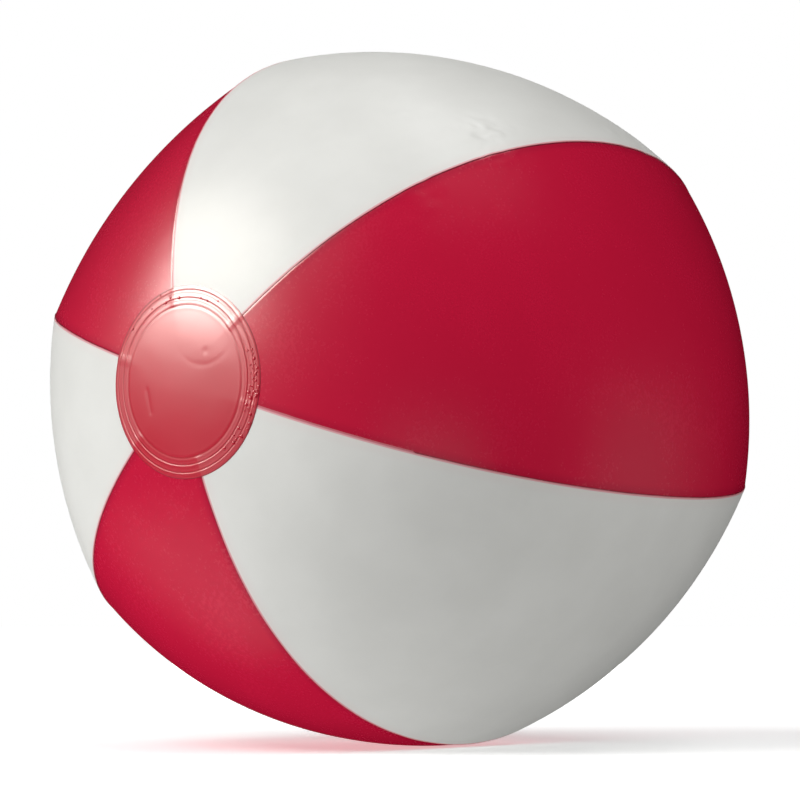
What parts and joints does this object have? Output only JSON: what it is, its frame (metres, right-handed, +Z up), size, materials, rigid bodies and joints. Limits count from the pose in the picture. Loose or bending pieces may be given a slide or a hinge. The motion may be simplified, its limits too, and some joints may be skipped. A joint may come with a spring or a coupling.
{
  "type": "inflatable beach ball",
  "caption": "Inflated vinyl beach ball of red and white lap-welded panels, with red end caps and a push-in air valve.",
  "frame": {"origin": "centre of the ball", "axes": "polar axis along Y, with the plain front cap at -Y and the rear cap at +Y, +Z up as it lies on a floor"},
  "size_m": [0.2522, 0.2408, 0.2552],
  "materials": {
    "red_vinyl": "soft gloss PVC sheet, slightly translucent",
    "white_vinyl": "soft gloss PVC sheet, slightly translucent",
    "cap_vinyl": "soft gloss PVC sheet, translucent red, with pressed weld rings",
    "valve_vinyl": "soft moulded PVC, milky and semi-clear"
  },
  "bodies": {
    "ball": {"white_panel_1": "white_vinyl", "white_panel_2": "white_vinyl", "white_panel_3": "white_vinyl", "red_panel_1": "red_vinyl", "red_panel_2": "red_vinyl", "red_panel_3": "red_vinyl", "front_cap": "cap_vinyl", "rear_cap": "cap_vinyl", "valve_base": "valve_vinyl"},
    "stem": {"valve_stem": "valve_vinyl"},
    "plug": {"valve_plug": "valve_vinyl"},
    "flap": {"check_flap": "valve_vinyl"}
  },
  "joints": [
    {"name": "stem_pull", "type": "slide", "parent": "ball", "child": "stem", "axis": [-0.5277, 0.8423, -0.1098], "range_m": [0, 0.01]},
    {"name": "plug_open", "type": "hinge", "parent": "stem", "child": "plug", "pos_m": [-0.07945, 0.0973, -0.01653], "axis": [-0.2036, 0, 0.979], "range_deg": [0, 120]},
    {"name": "flap_open", "type": "hinge", "parent": "stem", "child": "flap", "pos_m": [-0.07105, 0.08908, -0.01478], "axis": [0.2036, 0, -0.979], "range_deg": [0, 60], "stiffness_Nm_per_rad": 0.0002}
  ]
}
